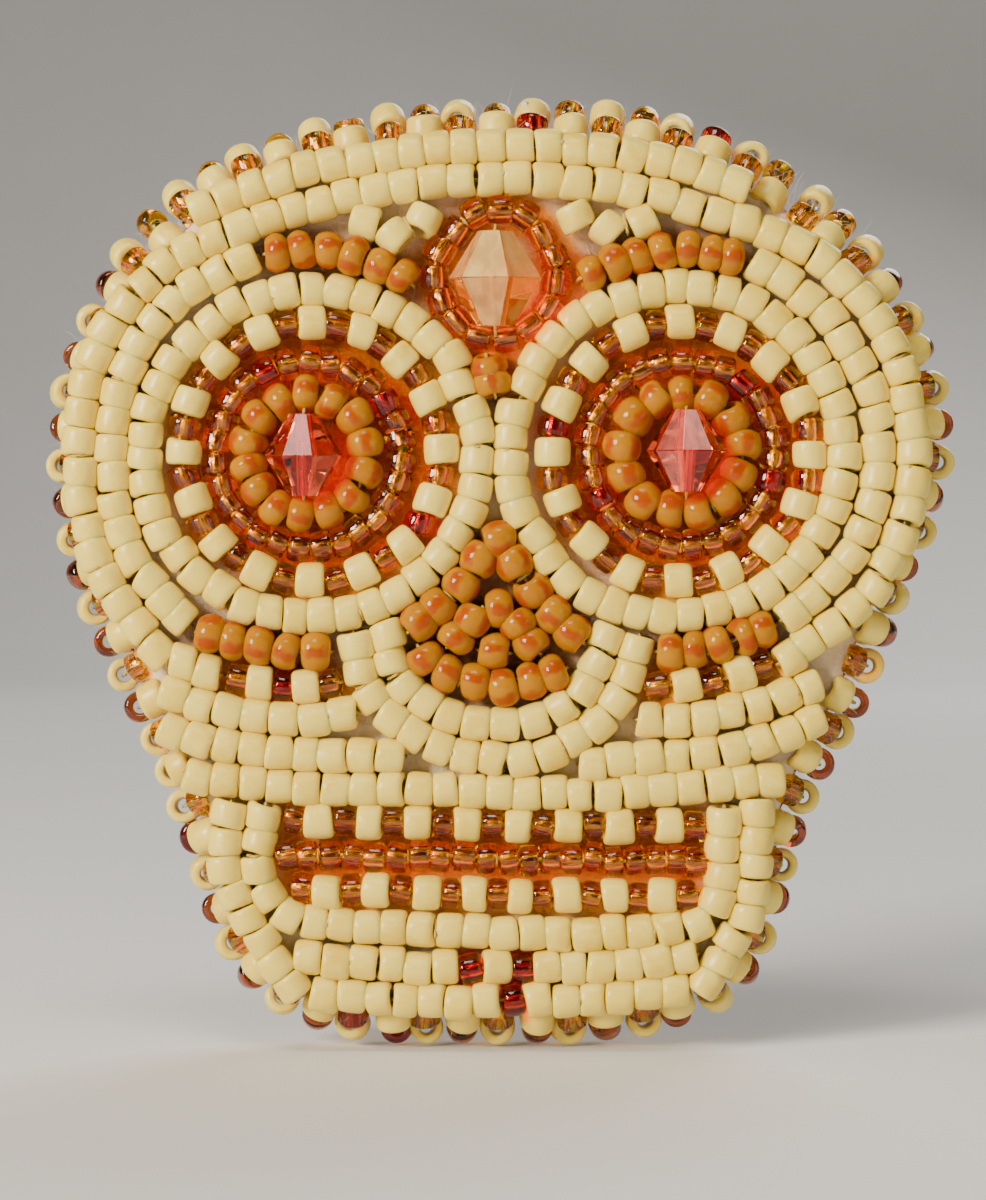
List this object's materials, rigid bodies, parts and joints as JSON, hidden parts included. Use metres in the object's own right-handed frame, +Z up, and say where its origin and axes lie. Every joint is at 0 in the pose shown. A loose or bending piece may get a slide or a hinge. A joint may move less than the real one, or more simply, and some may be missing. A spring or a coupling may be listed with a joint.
{
  "type": "bead-embroidered skull brooch",
  "caption": "Flat sugar-skull brooch: couched seed-bead strands and faceted crystals on felt, whip-stitched bead edge, leather back, hinged pin with turning safety catch.",
  "frame": {"origin": "centre of the leather backing's back face, the plane that lies on the cloth", "axes": "+Y out of the back towards the wearer, so the beaded face looks along -Y; +Z up towards the crown of the skull; +X to the viewer's right when looking at the face"},
  "size_m": [0.0459, 0.0126, 0.0476],
  "materials": {
    "cream_beads": "satin opaque ivory glass",
    "amber_beads": "transparent amber glass with a metallic lining",
    "yellow_beads": "glossy opaque yellow glass with orange stripes",
    "edging_beads": "ivory, amber and brown glass beads in turn",
    "coral_crystal": "cut and polished",
    "peach_crystal": "cut and polished, pearly coating",
    "felt": "fuzzy wool felt",
    "stiffener": "matte sheet",
    "leather": "soft grained",
    "steel": "nickel plated",
    "thread": "waxed nylon beading thread"
  },
  "bodies": {
    "brooch": {"crown_row": "cream_beads", "face_outline_row": "cream_beads", "temple_row_left": "cream_beads", "temple_row_right": "cream_beads", "brow_row_left": "yellow_beads", "brow_row_right": "yellow_beads", "bridge_row": "yellow_beads", "forehead_fill_left": "cream_beads", "forehead_fill_right": "cream_beads", "nose_outer_row": "yellow_beads", "nose_inner_row": "yellow_beads", "nose_centre_bead": "yellow_beads", "nose_base_row": "yellow_beads", "nose_frame_inner": "cream_beads", "nose_frame_outer": "cream_beads", "cheek_row_left": "yellow_beads", "cheek_row_right": "yellow_beads", "cheek_dotted_left": "amber_beads", "cheek_dotted_right": "amber_beads", "upper_jaw_row_left": "cream_beads", "upper_jaw_row_right": "cream_beads", "middle_jaw_row_left": "cream_beads", "middle_jaw_row_right": "cream_beads", "lip_row": "cream_beads", "teeth_row_upper": "amber_beads", "mouth_row": "amber_beads", "teeth_row_lower": "amber_beads", "jaw_frame_inner": "cream_beads", "jaw_frame_left": "cream_beads", "jaw_frame_right": "cream_beads", "chin_row_upper": "cream_beads", "chin_row_lower": "cream_beads", "socket_ring_left": "cream_beads", "socket_ring_right": "cream_beads", "lash_ring_left": "amber_beads", "lash_ring_right": "amber_beads", "iris_ring_left": "amber_beads", "iris_ring_right": "amber_beads", "pupil_ring_left": "yellow_beads", "pupil_ring_right": "yellow_beads", "forehead_ring": "amber_beads", "edging_front": "edging_beads", "edging_rim": "edging_beads", "edging_back": "edging_beads", "eye_crystal_left": "coral_crystal", "eye_crystal_right": "coral_crystal", "forehead_crystal": "peach_crystal", "foundation_felt": "felt", "stiffener": "stiffener", "leather_backing": "leather", "pin_bar": "steel", "hinge_rivet": "steel", "bar_stitch_1": "thread", "bar_stitch_2": "thread", "bar_stitch_3": "thread"},
    "pin_stem": {"pin_stem": "steel"},
    "catch_sleeve": {"catch_sleeve": "steel"}
  },
  "joints": [
    {"name": "pin_hinge", "type": "hinge", "parent": "brooch", "child": "pin_stem", "pos_m": [-0.0136, 0.00295, 0.0075], "axis": [0, 0, 1], "range_deg": [0, 95]},
    {"name": "catch_turn", "type": "hinge", "parent": "brooch", "child": "catch_sleeve", "pos_m": [0.0132, 0.00295, 0.0075], "axis": [1, 0, 0], "range_deg": [0, 100]}
  ]
}
